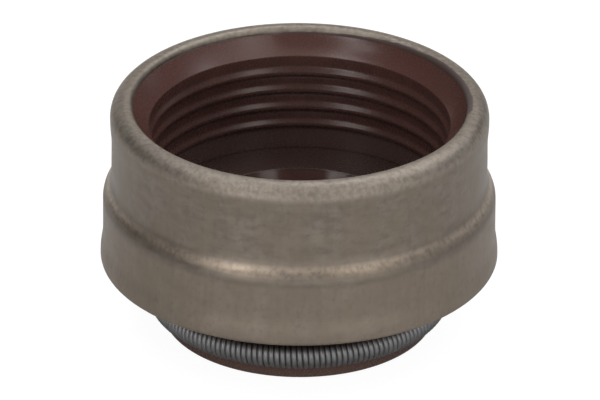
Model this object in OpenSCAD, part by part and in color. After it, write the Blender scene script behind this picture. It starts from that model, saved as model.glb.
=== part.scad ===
// Valve stem seal, standing on its sealing lip with the socket for the valve guide upwards.
// A pressed steel case holds one moulded rubber body, and a garter spring squeezes the lip.
// Millimetres, +Z up, origin on the axis at the foot of the lip.

/* [Case] */
// Thickness of the pressed sheet
sheet_t = 0.5; // [0.45:0.01:0.55]
// Height of the case from its underside to its rim
case_h = 8.8; // [8.4:0.02:11]
// Diameter over the slight swell under the rim
rim_d = 19.5; // [19.42:0.01:19.6]
// Diameter of the narrow upper wall
neck_d = 19.35; // [19:0.05:19.4]
// Diameter of the wall under the shoulder
wall_d = 20.24; // [20:0.02:20.4]
// Diameter of the skirt at the lower edge
skirt_d = 20.5; // [20.45:0.05:21]
// Diameter of the hole in the turned-in rim
rim_hole_d = 17.2; // [16.8:0.1:17.4]
// Inside radius of the bend at the rim
rim_bend = 0.33; // [0.2:0.01:0.35]
// Rounding of the rim's upper edge at its hole
rim_edge = 0.28; // [0.04:0.02:0.28]
// Inside radius of the bend at the underside
base_bend = 0.1; // [0.05:0.05:0.2]
// Outside radius of that bend, which is struck almost sharp
base_corner = 0.2; // [0.1:0.05:0.3]
// Radius of the two bends that fade the swell into the upper wall
swell_bend = 5.7; // [3:0.1:6.5]
// Depth of the full swell under the rim
swell_h = 0.93; // [0.9:0.01:1.2]
// Height of the shoulder's lower end above the underside
shoulder_h = 3.18; // [2.9:0.01:3.8]
// Radius of the shoulder's outward bend
shoulder_out = 1.6; // [0.56:0.02:2]
// Radius of the shoulder's inward bend
shoulder_in = 1.6; // [1.2:0.1:2.6]
// Radius of the two bends that widen the wall into the skirt
skirt_bend = 4; // [3:0.1:5]
// Height of the straight band over the struck corner
skirt_band = 0.05; // [0:0.05:0.2]

/* [Guide socket] */
// Diameter over the crests of the ribs, which grip the valve guide
rib_d = 15.2; // [14.8:0.05:15.35]
// Depth of the grooves between the ribs
rib_depth = 0.16; // [0.14:0.01:0.3]
// Number of ribs
rib_count = 4; // [2:1:5]
// Height of the flat on each crest
rib_land = 0.12; // [0.1:0.01:0.2]
// Height of each sloping side of a rib
rib_flank = 0.24; // [0.15:0.01:0.28]
// Height of the lowest rib above the socket floor
rib_start = 1.45; // [1:0.05:1.8]
// Drop from the mouth's inner edge to the highest rib
rib_drop = 0.93; // [0.68:0.01:1]
// Height of the socket floor above the case's underside
floor_h = 2.2; // [2:0.01:2.8]
// Depth of the bare metal edge above the rubber
mouth_drop = 0.38; // [0.3:0.01:0.44]
// Diameter at the inner edge of the mouth's cone
mouth_d = 15.5; // [15.4:0.05:15.8]
// Slope of the mouth's cone from level
mouth_slope = 45; // [30:1:50]
// Height of the flat below the mouth's inner edge
mouth_land = 0.07; // [0.05:0.01:0.1]

/* [Throat and lip] */
// Diameter of the throat at the socket floor
throat_mouth_d = 10.9; // [10.4:0.05:11.4]
// Height of the cone that narrows the throat under the floor
throat_cone_h = 0.9; // [0.6:0.05:1.2]
// Diameter of the throat below its cone
throat_d = 9.9; // [9.75:0.05:10.2]
// Diameter of the throat where the lip begins
throat_low_d = 9.7; // [9.5:0.05:9.85]
// Diameter of the lip's sealing edge, which runs on the valve stem
lip_d = 8.8; // [8.2:0.05:9.2]
// Height of the sealing edge
lip_land = 0.5; // [0.3:0.05:0.7]
// Height of the cone above the sealing edge
lip_cone_h = 0.9; // [0.6:0.05:1.1]
// Diameter of the opening under the lip
foot_hole_d = 10.8; // [10:0.05:11.6]

/* [Spring and foot] */
// Diameter of the spring ring, through the middle of its coil
ring_d = 14.14; // [13.8:0.02:14.4]
// Outside diameter of the coil
coil_d = 1.6; // [1.4:0.02:1.8]
// Diameter of the spring wire
wire_d = 0.23; // [0.21:0.01:0.28]
// Gap between neighbouring turns at the inside of the ring
turn_gap = 0.013; // [0.01:0.001:0.03]
// Clearance between the coil and its groove
seat_gap = 0.02; // [0.01:0.01:0.04]
// Height of the bead under the spring's groove
bead_h = 0.73; // [0.6:0.01:0.9]
// Width of the bead, out from the bottom of the groove
bead_w = 0.79; // [0.6:0.01:0.81]
// Depth of the groove's upper side
neck_w = 0.35; // [0.2:0.05:0.5]
// Height of the bare rubber neck between the groove and the case
neck_h = 1.23; // [0.9:0.01:1.5]
// Width of rubber between the neck's side and the hole in the case
hole_gap = 0.42; // [0.3:0.02:0.7]

/* [Roundings] */
// Rounding of the rib grooves
groove_round = 0.3; // [0.1:0.01:0.3]
// Rounding of the ribs beside the flat on their crests
crest_round = 0.15; // [0.05:0.01:0.2]
// Rounding of the mouth's inner edge
mouth_round = 0.15; // [0.05:0.01:0.2]
// Rounding between the socket wall and its floor
floor_round = 0.1; // [0.05:0.05:0.3]
// Rounding of the throat's upper edge
throat_round = 0.12; // [0.06:0.02:0.3]
// Rounding where the throat's cone ends
cone_round = 0.3; // [0.1:0.05:0.6]
// Rounding where the throat runs into the lip
lip_round = 0.4; // [0.1:0.05:0.6]
// Rounding of the foot's inner edge
foot_round = 0.2; // [0.1:0.05:0.3]
// Rounding of the bead's outer edge
bead_round = 0.36; // [0.1:0.01:0.4]
// Rounding between the neck and the underside
neck_round = 0.2; // [0.1:0.05:0.25]

/* [Hidden] */

// Facets of a full turn, and degrees of bend for each straight step of a section
$fn = 180;
bend_step = 9;

// The spring's ring, and the groove that it seats in
ring_r = ring_d / 2;
coil_r = coil_d / 2;
groove_r = coil_r + seat_gap;
spring_z = bead_h + groove_r;
turn_r = coil_r - wire_d / 2;
turns = floor(2 * PI * (ring_r - turn_r) / (wire_d + turn_gap));
turn_steps = 8;
wire_sides = 4;

// Radii of the bead below the spring and of the neck above it
groove_floor_r = ring_r - groove_r;
bead_r = groove_floor_r + bead_w;
neck_r = groove_floor_r + neck_w;

// Angles on the groove where the bead and the neck begin
bead_angle = acos((bead_r - ring_r) / groove_r);
neck_angle = acos((neck_r - ring_r) / groove_r);

// Levels of the case, and its outer radii
base_z = spring_z + groove_r + neck_h;
rim_z = base_z + case_h;
rim_r = rim_d / 2;
upper_r = neck_d / 2;
wall_r = wall_d / 2;
skirt_r = skirt_d / 2;
rim_hole_r = rim_hole_d / 2;
base_hole_r = neck_r + hole_gap;
rim_bend_out = rim_bend + sheet_t;
rim_edge_r = min(rim_edge, rim_r - rim_bend_out - rim_hole_r);

// Levels and radii of the socket, the throat and the lip
floor_z = base_z + floor_h;
mouth_z = rim_z - mouth_drop;
mouth_r = mouth_d / 2;
mouth_low_z = mouth_z - (rim_hole_r - mouth_r) * tan(mouth_slope);
rib_r = rib_d / 2;
groove_root_r = rib_r + rib_depth;
rib_first_z = floor_z + rib_start;
rib_last_z = mouth_low_z - rib_drop;
rib_pitch = (rib_last_z - rib_first_z) / (rib_count - 1);
throat_mouth_r = throat_mouth_d / 2;
throat_r = throat_d / 2;
throat_low_r = throat_low_d / 2;
lip_r = lip_d / 2;
lip_top_z = spring_z + lip_land / 2;
lip_low_z = spring_z - lip_land / 2;
foot_hole_r = foot_hole_d / 2;

// Points along an arc, from angle a0 to angle a1
function arc(c, r, a0, a1) =
    let (steps = max(2, ceil(abs(a1 - a0) / bend_step)))
    [for (i = [0 : steps]) let (a = a0 + (a1 - a0) * i / steps) c + r * [cos(a), sin(a)]];

// Turn shared by two opposite bends that step a wall sideways
function step_turn(side, r_a, r_b) = acos(1 - side / (r_a + r_b));

// The case's bends from the rim to the skirt, each as [centre, outer radius, first angle, last angle, side].
// The side is 1 where the bend's centre is inside the case and -1 where it is outside.
swell_turn = step_turn(rim_r - upper_r, swell_bend, swell_bend);
shoulder_turn = step_turn(wall_r - upper_r, shoulder_in, shoulder_out);
skirt_turn = step_turn(skirt_r - wall_r, skirt_bend, skirt_bend);
swell_z = rim_z - swell_h;
shoulder_z = base_z + shoulder_h;
skirt_z = base_z + base_corner + skirt_band;
bends = [
    [[rim_r - rim_bend_out, rim_z - rim_bend_out], rim_bend_out, 90, 0, 1],
    [[rim_r - swell_bend, swell_z], swell_bend, 0, -swell_turn, 1],
    [[upper_r + swell_bend, swell_z - 2 * swell_bend * sin(swell_turn)],
        swell_bend, 180 - swell_turn, 180, -1],
    [[upper_r + shoulder_in, shoulder_z + (shoulder_in + shoulder_out) * sin(shoulder_turn)],
        shoulder_in, 180, 180 + shoulder_turn, -1],
    [[wall_r - shoulder_out, shoulder_z], shoulder_out, shoulder_turn, 0, 1],
    [[wall_r + skirt_bend, skirt_z + 2 * skirt_bend * sin(skirt_turn)],
        skirt_bend, 180, 180 + skirt_turn, -1]
];

// A line without the points that repeat where one bend runs straight into the next
function single(p) = [for (i = [0 : len(p) - 1]) if (i == 0 || norm(p[i] - p[i - 1]) > 0.00001) p[i]];

function reversed(p) = [for (i = [len(p) - 1 : -1 : 0]) p[i]];

// Section line of the case at a depth into the sheet: 0 is its outer face, sheet_t its inner face.
// The skirt's last bend runs on until the lower bend meets it without a corner.
function case_line(depth) =
    let (
        lower = depth > 0 ? base_bend : base_corner,
        lower_z = base_z + depth + lower,
        reach = skirt_bend - depth - lower,
        turn = asin(max(0, lower_z - skirt_z) / reach),
        bend_r = skirt_r - skirt_bend
    )
    single(concat(
        depth > 0
            ? [[rim_hole_r, rim_z - depth]]
            : arc([rim_hole_r + rim_edge_r, rim_z - rim_edge_r], rim_edge_r, 180, 90),
        [for (b = bends) each arc(b[0], b[1] - b[4] * depth, b[2], b[3])],
        arc([bend_r, skirt_z], skirt_bend - depth, skirt_turn, turn),
        arc([bend_r + reach * cos(turn), lower_z], lower, turn, -90),
        [[base_hole_r, base_z + depth]]
    ));

// Rounds one corner of a path, never past the middle of either side
function round_corner(a, p, b, r) =
    let (
        u = (a - p) / norm(a - p),
        v = (b - p) / norm(b - p),
        half = acos(u * v) / 2,
        reach = min(r / tan(half), norm(a - p) / 2, norm(b - p) / 2),
        r_used = reach * tan(half),
        centre = p + (u + v) / norm(u + v) * r_used / sin(half),
        from = p + u * reach - centre,
        to = p + v * reach - centre,
        a0 = atan2(from[1], from[0]),
        turn = atan2(to[1], to[0]) - a0,
        short_turn = turn > 180 ? turn - 360 : turn < -180 ? turn + 360 : turn
    )
    arc(centre, r_used, a0, a0 + short_turn);

// Path through [r, z, rounding] corners, with its first and last corner left sharp
function rounded(path) =
    let (p = [for (c = path) [c[0], c[1]]], last = len(path) - 1)
    concat(
        [p[0]],
        [for (i = [1 : last - 1])
            each (path[i][2] > 0 ? round_corner(p[i - 1], p[i], p[i + 1], path[i][2]) : [p[i]])],
        [p[last]]
    );

// One rib of the socket, from its top down, at height z
function rib(z) = [
    [groove_root_r, z + rib_land / 2 + rib_flank, groove_round],
    [rib_r, z + rib_land / 2, crest_round],
    [rib_r, z - rib_land / 2, crest_round],
    [groove_root_r, z - rib_land / 2 - rib_flank, groove_round]
];

// Inside of the rubber from the mouth to the foot, and round the foot up to the groove
function rubber_inside() = rounded(concat(
    [
        [rim_hole_r, mouth_z, 0],
        [mouth_r, mouth_low_z, mouth_round],
        [mouth_r, mouth_low_z - mouth_land, 0],
        [groove_root_r, mouth_low_z - mouth_land - rib_flank, groove_round]
    ],
    [for (i = [rib_count - 1 : -1 : 0]) each rib(rib_first_z + i * rib_pitch)],
    [
        [groove_root_r, floor_z, floor_round],
        [throat_mouth_r, floor_z, throat_round],
        [throat_r, floor_z - throat_cone_h, cone_round],
        [throat_low_r, lip_top_z + lip_cone_h, lip_round],
        [lip_r, lip_top_z, 0],
        [lip_r, lip_low_z, 0],
        [foot_hole_r, 0, foot_round],
        [bead_r, 0, bead_round],
        [bead_r, spring_z - groove_r * sin(bead_angle), 0]
    ]
));

// Outside of the rubber: the spring's groove and the neck
function rubber_outside() = concat(
    arc([ring_r, spring_z], groove_r, -bead_angle, neck_angle - 360),
    rounded([
        [neck_r, spring_z + groove_r * sin(neck_angle), 0],
        [neck_r, base_z, neck_round],
        [base_hole_r, base_z, 0]
    ])
);

// Centre line of the spring's wire, which winds once round the coil for each turn
function spring_point(i, j) =
    let (
        round_ring = 360 * i / (turns * turn_steps),
        round_coil = -360 * i / turn_steps,
        round_wire = 360 * j / wire_sides,
        out = turn_r + wire_d / 2 * cos(round_wire),
        side = wire_d / 2 * sin(round_wire),
        r = ring_r + out * cos(round_coil)
    )
    [
        r * cos(round_ring) - side * sin(round_ring),
        r * sin(round_ring) + side * cos(round_ring),
        spring_z + out * sin(round_coil)
    ];

// Pressed sheet steel shell, turned in at both ends
module metal_case() {
    color("#8a8176")
    rotate_extrude()
    polygon(concat(case_line(0), reversed(case_line(sheet_t))));
}

// Moulded rubber bonded to the inside of the case, with the ribbed socket and the lip
module rubber_body() {
    color("#513c38")
    rotate_extrude()
    polygon(single(concat(rubber_inside(), rubber_outside(), reversed(case_line(sheet_t)))));
}

// Close-wound wire spring, joined end to end into a ring
module garter_spring() {
    rings = turns * turn_steps;
    color("#77757a")
    polyhedron(
        points = [for (i = [0 : rings - 1]) for (j = [0 : wire_sides - 1]) spring_point(i, j)],
        faces = [for (i = [0 : rings - 1]) for (j = [0 : wire_sides - 1])
            let (
                a = i * wire_sides + j,
                b = i * wire_sides + (j + 1) % wire_sides,
                c = ((i + 1) % rings) * wire_sides + (j + 1) % wire_sides,
                d = ((i + 1) % rings) * wire_sides + j
            )
            each [[a, b, c], [a, c, d]]],
        convexity = 10
    );
}

metal_case();
rubber_body();
garter_spring();
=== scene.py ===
import math

import bmesh
import bpy
from mathutils import Matrix, Vector, noise


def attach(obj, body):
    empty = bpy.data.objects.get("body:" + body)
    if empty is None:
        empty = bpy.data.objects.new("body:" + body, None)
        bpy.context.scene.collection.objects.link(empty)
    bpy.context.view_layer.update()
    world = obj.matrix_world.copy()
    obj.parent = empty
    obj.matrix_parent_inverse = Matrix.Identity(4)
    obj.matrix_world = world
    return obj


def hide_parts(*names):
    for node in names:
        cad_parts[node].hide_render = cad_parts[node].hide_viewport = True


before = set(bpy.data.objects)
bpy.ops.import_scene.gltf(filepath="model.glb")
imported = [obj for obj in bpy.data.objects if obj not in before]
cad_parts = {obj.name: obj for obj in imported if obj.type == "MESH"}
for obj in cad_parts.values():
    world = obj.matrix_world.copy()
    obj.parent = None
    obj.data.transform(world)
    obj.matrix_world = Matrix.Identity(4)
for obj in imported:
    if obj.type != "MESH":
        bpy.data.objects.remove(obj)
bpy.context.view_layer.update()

# Valve stem seal standing on its lip: steel case, rubber moulding and garter spring.
# Lengths are in millimetres until MM turns them into metres, and angles are in degrees
# unless a name ends in _rad.
MM = 0.001

# Segments round the axis, degrees along each kind of arc, lengths along straights, the distance below
# which two points are one, and the turn that stays a hard edge
SEGMENTS = 320
BEND_STEP, EDGE_STEP, LINING_STEP, CORNER_STEP, GROOVE_STEP = 3.0, 9.0, 15.0, 10.0, 6.0
CASE_STRAIGHT, RUBBER_STRAIGHT, STRAIGHT_END = 0.22, 0.3, 0.03
SAME_POINT = 1e-4
HARD_EDGE = 50

# Case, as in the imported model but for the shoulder's arcs
SHEET = 0.5
BASE_Z, RIM_Z = 3.6, 12.4
RIM_R, UPPER_R, WALL_R, SKIRT_R = 9.75, 9.675, 10.12, 10.25
RIM_HOLE_R, BASE_HOLE_R = 8.6, 7.02
RIM_BEND, RIM_EDGE = 0.83, 0.28
BASE_BEND, BASE_CORNER, BASE_EDGE = 0.1, 0.2, 0.08
SWELL_BEND, SWELL_Z = 5.7, RIM_Z - 0.93
SHOULDER_OUT, SHOULDER_IN, SHOULDER_Z = 1.0, 1.8, BASE_Z + 3.36
SKIRT_BEND, SKIRT_Z = 4.0, BASE_Z + 0.25
WALL_SLOW, WALL_FINE = 0.012, 0.004

# Rubber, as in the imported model
MOUTH_Z, MOUTH_R, MOUTH_LOW_Z, MOUTH_LAND = 12.02, 7.75, 11.17, 0.07
RIB_R, RIB_DEPTH, RIB_LAND, RIB_FLANK = 7.6, 0.16, 0.12, 0.24
RIB_ZS = (10.24, 9.243, 8.247, 7.25)
SOCKET_R = RIB_R + RIB_DEPTH
FLOOR_Z = 5.8
THROAT_MOUTH_R, THROAT_CONE, THROAT_R, THROAT_LOW_R = 5.45, 0.9, 4.95, 4.85
LIP_R, LIP_TOP_Z, LIP_LOW_Z, LIP_CONE = 4.4, 1.8, 1.3, 0.9
FOOT_HOLE_R = 5.4
BEAD_R, NECK_R = 7.04, 6.6

# Flash: a thin film of rubber that has crept over the rim's edge, from one angle to another
FILM_FROM, FILM_TO, FILM_POINTS = -11.0, 99.7, 9
FILM_THICK, FILM_SUNK = 0.03, 0.004
FILM_LEAST, FILM_MOST, FILM_LOSS = 0.03, 0.55, 0.44
FILM_WAVE, FILM_RIPPLE = 0.05, 0.03
FILM_RAMP, FILM_THINS_FROM, FILM_THINS_OVER = 5, 5, 75

# Spring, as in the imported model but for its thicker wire, and the groove that it sits in
RING_R, COIL_R, WIRE_R, TURNS = 7.07, 0.8, 0.155, 165
COIL_STEPS, WIRE_SIDES = 32, 10
GROOVE_R, SPRING_Z = 0.82, 1.55


# Section lines
def sin_deg(a):
    return math.sin(math.radians(a))


def arc(c, r, a0, a1, step):
    """Points along an arc from angle a0 to a1, at most a step apart."""
    n = max(3, math.ceil(abs(a1 - a0) / step))
    out = []
    for i in range(n + 1):
        a_rad = math.radians(a0 + (a1 - a0) * i / n)
        out.append((c[0] + r * math.cos(a_rad), c[1] + r * math.sin(a_rad)))
    return out


def step_turn(side, ra, rb):
    """Turn of two opposed arcs of radius ra and rb that together step sideways by side."""
    return math.degrees(math.acos(1 - side / (ra + rb)))


def single(points):
    """The points without those that repeat the one before."""
    out = []
    for p in points:
        if not out or math.dist(p, out[-1]) > SAME_POINT:
            out.append(p)
    return out


def case_line(depth):
    """The case's section at a depth into the sheet, from the rim's hole to the underside's."""
    swell = step_turn(RIM_R - UPPER_R, SWELL_BEND, SWELL_BEND)
    swell_low = SWELL_Z - 2 * SWELL_BEND * sin_deg(swell)
    shoulder = step_turn(WALL_R - UPPER_R, SHOULDER_IN, SHOULDER_OUT)
    shoulder_top = SHOULDER_Z + (SHOULDER_IN + SHOULDER_OUT) * sin_deg(shoulder)
    skirt = step_turn(SKIRT_R - WALL_R, SKIRT_BEND, SKIRT_BEND)
    skirt_top = SKIRT_Z + 2 * SKIRT_BEND * sin_deg(skirt)
    lower = BASE_BEND if depth else BASE_CORNER
    lower_z = BASE_Z + depth + lower
    reach = SKIRT_BEND - depth - lower
    turn = math.degrees(math.asin(max(0, lower_z - SKIRT_Z) / reach))
    lower_r = SKIRT_R - SKIRT_BEND + reach * math.cos(math.radians(turn))
    # Each bend's centre, radius and two angles, then 1 for a centre inside the case or -1 for outside
    bends = [
        ((RIM_R - RIM_BEND, RIM_Z - RIM_BEND), RIM_BEND, 90, 0, 1),
        ((RIM_R - SWELL_BEND, SWELL_Z), SWELL_BEND, 0, -swell, 1),
        ((UPPER_R + SWELL_BEND, swell_low), SWELL_BEND, 180 - swell, 180, -1),
        ((UPPER_R + SHOULDER_IN, shoulder_top), SHOULDER_IN, 180, 180 + shoulder, -1),
        ((WALL_R - SHOULDER_OUT, SHOULDER_Z), SHOULDER_OUT, shoulder, 0, 1),
        ((WALL_R + SKIRT_BEND, skirt_top), SKIRT_BEND, 180, 180 + skirt, -1),
        ((SKIRT_R - SKIRT_BEND, SKIRT_Z), SKIRT_BEND, skirt, turn, 1),
    ]
    bend_step, edge_step = (LINING_STEP, LINING_STEP) if depth else (BEND_STEP, EDGE_STEP)
    line = [(RIM_HOLE_R, RIM_Z - depth)]
    if not depth:
        line = arc((RIM_HOLE_R + RIM_EDGE, RIM_Z - RIM_EDGE), RIM_EDGE, 180, 90, edge_step)
    for c, r, a0, a1, side in bends:
        line += arc(c, r - side * depth, a0, a1, bend_step)
    line += arc((lower_r, lower_z), lower, turn, -90, edge_step)
    return single(line)


def round_corner(a, p, b, r):
    """Arc of radius r in the corner p between a and b, never past the middle of either side."""
    ua, ub = Vector(a) - Vector(p), Vector(b) - Vector(p)
    la, lb = ua.length, ub.length
    ua, ub = ua / la, ub / lb
    half_rad = math.acos(max(-1, min(1, ua.dot(ub)))) / 2
    reach = min(r / math.tan(half_rad), la / 2, lb / 2)
    r = reach * math.tan(half_rad)
    centre = Vector(p) + (ua + ub).normalized() * (r / math.sin(half_rad))
    start, end = Vector(p) + ua * reach - centre, Vector(p) + ub * reach - centre
    a0 = math.degrees(math.atan2(start.y, start.x))
    turn = math.degrees(math.atan2(end.y, end.x)) - a0
    turn = (turn + 180) % 360 - 180
    return arc(centre, r, a0, a0 + turn, CORNER_STEP)


def rounded(path):
    """Line through (r, z, rounding) corners, whose first and last corner stay sharp."""
    p = [c[:2] for c in path]
    line = [p[0]]
    for i in range(1, len(path) - 1):
        r = path[i][2]
        line += round_corner(p[i - 1], p[i], p[i + 1], r) if r else [p[i]]
    return line + [p[-1]]


def dense(line, most):
    """The line with its long straights split, and a point close to each of their ends."""
    out = [line[0]]
    for a, b in zip(line, line[1:]):
        d = math.dist(a, b)
        stops = []
        if d > 4 * STRAIGHT_END:
            middle = d - 2 * STRAIGHT_END
            parts = math.ceil(middle / most)
            stops = [(STRAIGHT_END + middle * i / parts) / d for i in range(parts + 1)]
        out += [(a[0] + (b[0] - a[0]) * t, a[1] + (b[1] - a[1]) * t) for t in stops] + [b]
    return out


# Meshes
def finish_mesh(name, verts, faces, sharp=None):
    """Smooth object from points in millimetres. Edges that turn by more than sharp stay hard."""
    me = bpy.data.meshes.new(name)
    me.from_pydata([[c * MM for c in v] for v in verts], [], faces)
    bm = bmesh.new()
    bm.from_mesh(me)
    bmesh.ops.recalc_face_normals(bm, faces=bm.faces)
    bm.to_mesh(me)
    bm.free()
    me.shade_smooth()
    if sharp:
        me.set_sharp_from_angle(angle=math.radians(sharp))
    ob = bpy.data.objects.new(name, me)
    bpy.context.scene.collection.objects.link(ob)
    return ob


def lathe(name, line, moved, sharp=None):
    """Closed section turned about Z. moved(a_rad, r, z, index) gives each point its radius and height."""
    verts, faces, n = [], [], len(line)
    for i in range(SEGMENTS):
        a_rad = 2 * math.pi * i / SEGMENTS
        for k, (r, z) in enumerate(line):
            r, z = moved(a_rad, r, z, k)
            verts.append((r * math.cos(a_rad), r * math.sin(a_rad), z))
    for i in range(SEGMENTS):
        j = (i + 1) % SEGMENTS
        for k in range(n):
            m = (k + 1) % n
            faces.append((i * n + k, j * n + k, j * n + m, i * n + m))
    return finish_mesh(name, verts, faces, sharp)


def ring_noise(a_rad, z, around, up, seed):
    """Smooth noise on a cylinder, without a seam."""
    return noise.noise(Vector((math.cos(a_rad) * around + seed, math.sin(a_rad) * around, z * up)))


def clamp(v):
    return max(0.0, min(1.0, v))


# Case
def case_shell():
    """Drawn shell. Its sheared edges are rounded over, and its wall is very slightly uneven."""
    outer = case_line(0)
    edge = rounded([outer[-1] + (0,), (BASE_HOLE_R, BASE_Z, BASE_EDGE), (BASE_HOLE_R, BASE_Z + SHEET, 0)])
    skin = dense([(RIM_HOLE_R, RIM_Z - SHEET)] + outer + edge[1:], CASE_STRAIGHT)

    def moved(a_rad, r, z, k):
        if k >= len(skin):
            return r, z
        slow = ring_noise(a_rad, z, around=2.5, up=0.35, seed=3.1) * WALL_SLOW
        fine = ring_noise(a_rad, z, around=14.0, up=1.6, seed=7.7) * WALL_FINE
        return r + slow + fine, z

    return lathe("case_shell", single(skin + case_line(SHEET)[::-1]), moved)


# Rubber
def film_point(reach, t):
    """Point t, from 0 at the mouth to 1, of the film's outer face on a stretch of the rim's edge."""
    d = reach * t
    thick = FILM_THICK * (1 - t) ** 0.5 - FILM_SUNK
    wall = RIM_Z - RIM_EDGE - MOUTH_Z
    bend = RIM_EDGE * math.pi / 2
    if d < wall:
        return RIM_HOLE_R - thick, MOUTH_Z + d
    if d < wall + bend:
        a_rad = (d - wall) / RIM_EDGE
        r = RIM_EDGE + thick
        return RIM_HOLE_R + RIM_EDGE - r * math.cos(a_rad), RIM_Z - RIM_EDGE + r * math.sin(a_rad)
    return RIM_HOLE_R + RIM_EDGE + d - wall - bend, RIM_Z + thick


def film_reach(a_rad):
    """How far the film has crept over the edge at an angle."""
    a = (math.degrees(a_rad) + 90) % 360 - 90
    there = clamp(min(a - FILM_FROM, FILM_TO - a) / FILM_RAMP)
    thinner = clamp((a - FILM_THINS_FROM) / FILM_THINS_OVER)
    wave = ring_noise(a_rad, 0, around=9.0, up=1.0, seed=21.0) * FILM_WAVE
    ripple = ring_noise(a_rad, 0, around=30.0, up=1.0, seed=5.0) * FILM_RIPPLE
    return FILM_LEAST + there * (FILM_MOST + wave + ripple - FILM_LOSS * thinner)


def film_line(reach):
    return [film_point(reach, 1 - i / (FILM_POINTS - 1)) for i in range(FILM_POINTS)]


def socket_path(bead_z):
    """Mouth, ribs, socket floor, throat, lip and foot, up to the bead under the spring."""
    path = [
        (RIM_HOLE_R - FILM_THICK + FILM_SUNK, MOUTH_Z, 0),
        (MOUTH_R, MOUTH_LOW_Z, 0.15),
        (MOUTH_R, MOUTH_LOW_Z - MOUTH_LAND, 0.08),
        (SOCKET_R, MOUTH_LOW_Z - MOUTH_LAND - RIB_FLANK, 0.2),
    ]
    for z in RIB_ZS:
        path += [
            (SOCKET_R, z + RIB_LAND / 2 + RIB_FLANK, 0.3),
            (RIB_R, z + RIB_LAND / 2, 0.15),
            (RIB_R, z - RIB_LAND / 2, 0.15),
            (SOCKET_R, z - RIB_LAND / 2 - RIB_FLANK, 0.3),
        ]
    return path + [
        (SOCKET_R, FLOOR_Z, 0),
        (THROAT_MOUTH_R, FLOOR_Z, 0.03),
        (THROAT_R, FLOOR_Z - THROAT_CONE, 0.3),
        (THROAT_LOW_R, LIP_TOP_Z + LIP_CONE, 0.4),
        (LIP_R, LIP_TOP_Z, 0.04),
        (LIP_R, LIP_LOW_Z, 0.04),
        (FOOT_HOLE_R, 0, 0.2),
        (BEAD_R, 0, 0.36),
        (BEAD_R, bead_z, 0),
    ]


def rubber_moulding():
    """Everything inside the case and under it, with the spring's groove and the film of flash."""
    bead = math.degrees(math.acos((BEAD_R - RING_R) / GROOVE_R))
    neck = math.degrees(math.acos((NECK_R - RING_R) / GROOVE_R))
    socket_line = rounded(socket_path(SPRING_Z - GROOVE_R * sin_deg(bead)))
    groove_line = arc((RING_R, SPRING_Z), GROOVE_R, -bead, neck - 360, GROOVE_STEP)
    neck_line = rounded([
        (NECK_R, SPRING_Z + GROOVE_R * sin_deg(neck), 0),
        (NECK_R, BASE_Z, 0.2),
        (BASE_HOLE_R, BASE_Z, 0),
    ])
    skin = dense(single(socket_line[1:] + groove_line + neck_line), RUBBER_STRAIGHT)
    film = film_line(FILM_MOST)

    def moved(a_rad, r, z, k):
        if k < FILM_POINTS:
            return film_line(film_reach(a_rad))[k]
        return r, z

    return lathe("rubber_moulding", film + single(skin + case_line(SHEET)[::-1]), moved, HARD_EDGE)


# Spring
def garter_coil():
    """Round wire wound round the ring, one turn of the coil at a time."""
    rings = TURNS * COIL_STEPS
    verts, faces = [], []
    turn_r = COIL_R - WIRE_R
    lean_rad = math.atan2(2 * math.pi * RING_R / TURNS, 2 * math.pi * turn_r)
    up = Vector((0, 0, 1))
    for i in range(rings):
        ring_rad = 2 * math.pi * i / rings
        coil_rad = -2 * math.pi * i / COIL_STEPS
        out = Vector((math.cos(ring_rad), math.sin(ring_rad), 0))
        along = Vector((-math.sin(ring_rad), math.cos(ring_rad), 0))
        spoke = out * math.cos(coil_rad) + up * math.sin(coil_rad)
        round_coil = out * -math.sin(coil_rad) + up * math.cos(coil_rad)
        across = along * math.cos(lean_rad) + round_coil * math.sin(lean_rad)
        centre = out * RING_R + up * SPRING_Z + spoke * turn_r
        for j in range(WIRE_SIDES):
            w_rad = 2 * math.pi * j / WIRE_SIDES
            outward = spoke * (WIRE_R * math.cos(w_rad))
            sideways = across * (WIRE_R * math.sin(w_rad))
            verts.append(centre + outward + sideways)
    for i in range(rings):
        here = i * WIRE_SIDES
        there = (i + 1) % rings * WIRE_SIDES
        for j in range(WIRE_SIDES):
            k = (j + 1) % WIRE_SIDES
            faces.append((here + j, here + k, there + k, there + j))
    return finish_mesh("garter_coil", verts, faces)


# Materials
def feed(tree, socket, v):
    """Link a socket to another node's output, or set it to a value."""
    if isinstance(v, bpy.types.NodeSocket):
        tree.links.new(v, socket)
    else:
        socket.default_value = v


def add_node(tree, kind, inputs, **props):
    """New node, with its own settings from props and its inputs fed."""
    n = tree.nodes.new(kind)
    for k, v in props.items():
        setattr(n, k, v)
    for k, v in inputs.items():
        feed(tree, n.inputs[k], v)
    return n


def srgb(r, g, b):
    """Linear colour of an sRGB value from 0 to 255."""
    shares = [v / 255 for v in (r, g, b)]
    return (*[s / 12.92 if s <= 0.04045 else ((s + 0.055) / 1.055) ** 2.4 for s in shares], 1.0)


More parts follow.
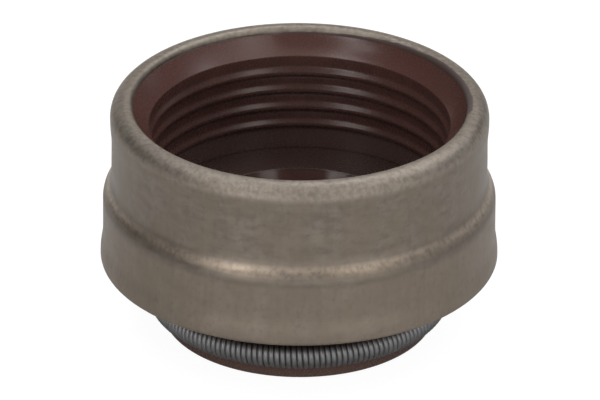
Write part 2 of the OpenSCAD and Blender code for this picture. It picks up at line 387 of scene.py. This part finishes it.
class Nodes:
    """A material, and short forms for making its nodes."""

    def __init__(self, name):
        self.mat = bpy.data.materials.new(name)
        self.mat.use_nodes = True
        self.tree = self.mat.node_tree
        self.shader = self.tree.nodes["Principled BSDF"]
        self.coord = self.tree.nodes.new("ShaderNodeTexCoord").outputs["Object"]
        self.z = self.new("ShaderNodeSeparateXYZ", {0: self.coord}).outputs[2]

    def new(self, kind, inputs, **props):
        return add_node(self.tree, kind, inputs, **props)

    def noise(self, per_mm, detail=2.0, rough=0.5):
        """Noise whose grain is set by its waves per millimetre along x, y and z."""
        scale = [p / MM for p in per_mm]
        place = self.new("ShaderNodeMapping", {"Vector": self.coord, "Scale": scale}).outputs[0]
        return self.new("ShaderNodeTexNoise", {
            "Vector": place, "Scale": 1.0, "Detail": detail, "Roughness": rough}).outputs[0]

    def ramp(self, fac, stops):
        n = self.new("ShaderNodeValToRGB", {"Fac": fac})
        for e, (at, colour) in zip(n.color_ramp.elements, stops):
            e.position = at
            e.color = srgb(*colour)
        return n.outputs[0]

    def span(self, value, lo, hi, to_lo, to_hi):
        """The value's range lo to hi brought to the range to_lo to to_hi, and held there."""
        return self.new("ShaderNodeMapRange", {
            "Value": value, "From Min": lo, "From Max": hi, "To Min": to_lo, "To Max": to_hi}).outputs[0]

    def calc(self, kind, a, b):
        return self.new("ShaderNodeMath", {0: a, 1: b}, operation=kind).outputs[0]

    def times(self, a, b):
        return self.calc("MULTIPLY", a, b)

    def above(self, z, soft):
        """0 below a height and 1 above it, over a soft edge."""
        return self.span(self.z, (z - soft) * MM, (z + soft) * MM, 0.0, 1.0)

    def below(self, z, soft):
        return self.calc("SUBTRACT", 1.0, self.above(z, soft))

    def between(self, lo, hi, soft):
        return self.calc("SUBTRACT", self.above(lo, soft), self.above(hi, soft))

    def coated(self, base, *coats):
        """The base colour under coats of (amount, colour)."""
        for amount, colour in coats:
            n = self.new("ShaderNodeMix", {}, data_type="RGBA")
            for socket, v in zip((n.inputs[0], n.inputs[6], n.inputs[7]), (amount, base, srgb(*colour))):
                feed(self.tree, socket, v)
            base = n.outputs[2]
        return base

    def bump(self, height, strength, depth):
        return self.new("ShaderNodeBump", {
            "Height": height, "Strength": strength, "Distance": depth * MM}).outputs[0]

    def set(self, **sockets):
        """Feed the shader's sockets, with _ for a space in their names."""
        for k, v in sockets.items():
            feed(self.tree, self.shader.inputs[k.replace("_", " ")], v)
        return self.mat


def case_steel():
    """Drawn steel: mottled and streaked up and down. Burnished, with a painted highlight, on the
    shoulder's slope and the rim, and painted shade on the fold below the slope.
    """
    n = Nodes("case_steel")
    mottle = n.noise((1.2, 1.2, 2.4), 4.0, 0.55)
    streak = n.noise((3.2, 3.2, 0.25))
    fleck = n.noise((4, 4, 3))
    grain = n.noise((7, 7, 7))
    tint = n.noise((0.7, 0.7, 0.5))
    speck = n.noise((4, 4, 4))
    lower_wall = n.below(SHOULDER_Z - 0.06, 0.3)
    # Painted shade on the fold at the foot of the shoulder's slope.
    painted_shade_fold = n.between(SHOULDER_Z - 0.01, SHOULDER_Z + 0.24, 0.2)
    # Band up the shoulder's slope: burnished, and painted lighter as a painted highlight.
    slope = n.between(SHOULDER_Z + 0.54, SHOULDER_Z + 0.84, 0.2)
    rim = n.above(RIM_Z - 0.7, 0.25)
    # Patches of burnish on the slope and the rim, painted lighter as painted highlight.
    wear_and_highlight_patches = n.span(fleck, 0.35, 0.6, 0.5, 1.0)
    base = n.coated(
        n.ramp(mottle, [(0.34, (114, 105, 96)), (0.66, (131, 122, 112))]),
        (n.times(lower_wall, 0.5), (133, 121, 108)),
        (n.span(streak, 0.35, 0.65, 0.0, 0.16), (100, 93, 86)),
        (n.span(fleck, 0.3, 0.48, 0.25, 0.0), (94, 87, 81)),
        (n.span(tint, 0.42, 0.58, 0.0, 0.4), (119, 108, 95)),
        # Painted shade on the shoulder's fold.
        (n.times(painted_shade_fold, 0.4), (88, 81, 75)),
        # Painted highlight over burnish on the shoulder's slope.
        (n.times(slope, n.times(wear_and_highlight_patches, 0.75)), (190, 174, 157)),
        # Rim painted lighter: wear on its edge, and painted highlight.
        (n.times(rim, n.times(wear_and_highlight_patches, 0.7)), (162, 153, 143)),
        (n.times(rim, n.span(speck, 0.32, 0.5, 0.25, 0.0)), (104, 90, 78)),
    )
    rough = n.calc("SUBTRACT", n.span(mottle, 0.3, 0.7, 0.44, 0.54), n.times(slope, 0.06))
    rough = n.calc("ADD", rough, n.times(rim, 0.06))
    return n.set(Base_Color=base, Metallic=1.0, Roughness=rough, Normal=n.bump(grain, 0.08, 0.02))


def seal_rubber():
    """Smooth brown moulding, glossier down in the throat and duller on the flash. Painted light on the
    mouth's cone and the socket's wall, painted shade on the socket's floor, and a painted reflection of
    the floor that makes the foot paler.
    """
    n = Nodes("seal_rubber")
    cloud = n.noise((1.2, 1.2, 1.2), 3.0)
    grain = n.noise((10, 10, 10))
    flash = n.above(MOUTH_Z + 0.04, 0.02)
    # Painted light: the mouth's cone is painted lighter.
    mouth_cone_painted_light = n.above(MOUTH_LOW_Z - MOUTH_LAND, 0.05)
    # Painted light: the socket's wall below the ribs is painted lighter.
    socket_wall_painted_light = n.between(FLOOR_Z + 0.1, RIB_ZS[-1] - 0.15, 0.02)
    # Painted shade: the socket's floor is painted darker.
    socket_floor_painted_shade = n.between(FLOOR_Z - 0.1, FLOOR_Z + 0.1, 0.02)
    throat = n.between(LIP_TOP_Z + 0.2, FLOOR_Z - 0.05, 0.02)
    # Painted reflection: the foot is painted paler, as if mirroring the floor.
    foot = n.below(0.5, 0.3)
    base = n.coated(
        n.ramp(cloud, [(0.3, (72, 49, 44)), (0.7, (81, 55, 50))]),
        # Painted light on the mouth's cone.
        (mouth_cone_painted_light, (84, 56, 51)),
        # Painted light on the socket's wall.
        (socket_wall_painted_light, (84, 65, 61)),
        # Painted shade on the socket's floor.
        (socket_floor_painted_shade, (64, 49, 45)),
        # Painted reflection of the floor on the foot.
        (foot, (92, 72, 64)),
        (flash, (76, 63, 59)),
    )
    rough = n.calc("SUBTRACT", n.span(grain, 0.3, 0.7, 0.24, 0.3), n.times(throat, 0.1))
    rough = n.calc("ADD", rough, n.times(flash, 0.25))
    bump = n.bump(grain, 0.05, 0.01)
    return n.set(Base_Color=base, Roughness=rough, Specular_IOR_Level=0.45, Normal=bump)


def spring_steel():
    """Grey wire, with painted shade towards the top of the coil, up under the case."""
    n = Nodes("spring_steel")
    cloud = n.noise((3, 3, 3))
    base = n.coated(
        n.ramp(cloud, [(0.3, (119, 118, 119)), (0.7, (134, 133, 134))]),
        # Painted shade on the top of the coil, under the case's overhang.
        (n.times(n.above(SPRING_Z + 0.43, 0.14), 0.85), (52, 45, 41)),
    )
    return n.set(Base_Color=base, Metallic=1.0, Roughness=n.span(cloud, 0.3, 0.7, 0.46, 0.54))


for ob, node, slot, mat in (
    (case_shell(), "metal_case", "case_steel", case_steel()),
    (rubber_moulding(), "rubber_body", "seal_rubber", seal_rubber()),
    (garter_coil(), "garter_spring", "spring_steel", spring_steel()),
):
    ob.data.materials.append(mat)
    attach(ob, "root")
    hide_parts(node)


# Floor and world
FLOOR_HALF_M = 0.6
FLOOR_BOUNCE, FLOOR_MIRRORED = 0.6, 0.86
FLOOR_SHADED, FLOOR_GLOW = 0.12, 0.95
SKY_STRENGTH, SKY_SEEN = 0.05, 0.8


def shader_mix(tree, fac, a, b):
    return add_node(tree, "ShaderNodeMixShader", {0: fac, 1: a, 2: b}).outputs[0]


def floor_paper():
    """Paper that lights the object as a grey floor, but looks nearly white to the camera and in metal."""
    mat = bpy.data.materials.new("floor_paper")
    mat.use_nodes = True
    t = mat.node_tree
    t.nodes.clear()

    def sheet(tone):
        return add_node(t, "ShaderNodeBsdfDiffuse", {"Color": (tone, tone, tone, 1)}).outputs[0]

    rays = t.nodes.new("ShaderNodeLightPath").outputs
    mirror_rays = {0: rays["Is Glossy Ray"], 1: rays["Is Transmission Ray"]}
    mirror = add_node(t, "ShaderNodeMath", mirror_rays, operation="MAXIMUM").outputs[0]
    glow = add_node(t, "ShaderNodeEmission", {"Color": (1, 1, 1, 1), "Strength": FLOOR_GLOW}).outputs[0]
    to_camera = add_node(t, "ShaderNodeAddShader", {0: sheet(FLOOR_SHADED), 1: glow}).outputs[0]
    to_others = shader_mix(t, mirror, sheet(FLOOR_BOUNCE), sheet(FLOOR_MIRRORED))
    surface = shader_mix(t, rays["Is Camera Ray"], to_others, to_camera)
    add_node(t, "ShaderNodeOutputMaterial", {"Surface": surface})
    return mat


def floor():
    h = FLOOR_HALF_M
    me = bpy.data.meshes.new("floor")
    me.from_pydata([(-h, -h, 0), (h, -h, 0), (h, h, 0), (-h, h, 0)], [], [(0, 1, 2, 3)])
    ob = bpy.data.objects.new("floor", me)
    bpy.context.scene.collection.objects.link(ob)
    me.materials.append(floor_paper())


def studio_world():
    """Faint even light, which the camera sees as a pale backdrop beyond the floor."""
    world = bpy.data.worlds.new("studio")
    world.use_nodes = True
    bpy.context.scene.world = world
    t = world.node_tree
    t.nodes.clear()

    def sky(tone, strength):
        inputs = {"Color": (tone, tone, tone, 1), "Strength": strength}
        return add_node(t, "ShaderNodeBackground", inputs).outputs[0]

    rays = t.nodes.new("ShaderNodeLightPath").outputs
    surface = shader_mix(t, rays["Is Camera Ray"], sky(1, SKY_STRENGTH), sky(SKY_SEEN, 1))
    add_node(t, "ShaderNodeOutputWorld", {"Surface": surface})


floor()
studio_world()

# Light: a window on the left with a glow beside it, low strips in front, and a ring of panels high up.
# The lamps and the camera face a point on the object's axis.
AIM_Z = 6.765
TARGET = Vector((0, 0, AIM_Z * MM))
LAMP_DISTANCE_M = 0.5
WHITE, COOL = (1, 1, 1), (0.97, 1.0, 1.04)
WARM, WARMER, WARMEST = (1.0, 0.97, 0.93), (1.0, 0.95, 0.9), (1.0, 0.95, 0.88)


def softbox(name, azimuth, elevation, width, height, radiance, colour=WHITE):
    """Rectangular lamp that faces the object, with its size in metres.

    Azimuth 0 is the camera's side, and it grows to the right. A radiance of 1 mirrors as white.
    """
    a_rad, e_rad = math.radians(azimuth), math.radians(elevation)
    way = Vector((math.sin(a_rad) * math.cos(e_rad), -math.cos(a_rad) * math.cos(e_rad), math.sin(e_rad)))
    lamp = bpy.data.lights.new(name, "AREA")
    lamp.shape = "RECTANGLE"
    lamp.size, lamp.size_y = width, height
    lamp.energy = radiance * math.pi * width * height
    lamp.color = colour
    ob = bpy.data.objects.new(name, lamp)
    ob.location = TARGET + way * LAMP_DISTANCE_M
    ob.rotation_euler = way.to_track_quat("Z", "Y").to_euler()
    bpy.context.scene.collection.objects.link(ob)


softbox("window_left", -35, 11, 0.086, 0.213, 6.4)
softbox("window_left_high", -39, 35, 0.085, 0.210, 3.0, WARM)
softbox("spot_left", -50, 31, 0.050, 0.070, 6.0)
softbox("window_left_glow", -25, 11.5, 0.086, 0.204, 2.5)
softbox("window_right", 36, 33, 0.150, 0.300, 2.0, WARM)
softbox("strip_middle", -5, 5, 0.268, 0.105, 1.8)
softbox("strip_right", 30, 5, 0.364, 0.105, 3.25)
softbox("strip_far_right", 65, 5, 0.268, 0.105, 1.5)
softbox("high_left", -50, 58, 0.193, 0.123, 5.0, WARM)
softbox("high_middle", 0, 58, 0.306, 0.123, 0.9, WARM)
softbox("high_right", 50, 58, 0.193, 0.123, 1.8, WARMER)
softbox("side_right", 60, 44, 0.262, 0.123, 0.7)
softbox("top_right", 55, 72, 0.144, 0.123, 1.4)
softbox("back_right", 150, 62, 0.271, 0.105, 5.8)
softbox("back_left", 205, 62, 0.219, 0.105, 3.8, COOL)
softbox("back_far_left", 255, 62, 0.219, 0.105, 4.2, COOL)
softbox("back_side", 110, 48, 0.386, 0.141, 3.3, COOL)
softbox("corner_right", 110, 8, 0.300, 0.140, 0.6, COOL)
softbox("back_middle", 170, 48, 0.386, 0.141, 0.7)
softbox("back_low", 190, 9, 0.570, 0.158, 1.0, WARMEST)


# Camera: in front of the object, looking down at it
LENS, SENSOR = 698.2, 36
SHIFT = (0.0012, -0.0008)


def place_camera(elevation, roll, distance_m):
    camera = bpy.data.cameras.new("camera")
    camera.sensor_width = SENSOR
    camera.lens = LENS
    camera.shift_x, camera.shift_y = SHIFT
    camera.clip_start, camera.clip_end = 0.01, 10
    ob = bpy.data.objects.new("camera", camera)
    e_rad = math.radians(elevation)
    ob.location = TARGET + Vector((0, -math.cos(e_rad), math.sin(e_rad))) * distance_m
    tilt = Matrix.Rotation(math.radians(90) - e_rad, 3, "X")
    ob.rotation_euler = (tilt @ Matrix.Rotation(math.radians(roll), 3, "Z")).to_euler()
    bpy.context.scene.collection.objects.link(ob)
    bpy.context.scene.camera = ob


place_camera(27.3, 0.33, 0.6)
bpy.context.scene.view_settings.view_transform = "Standard"
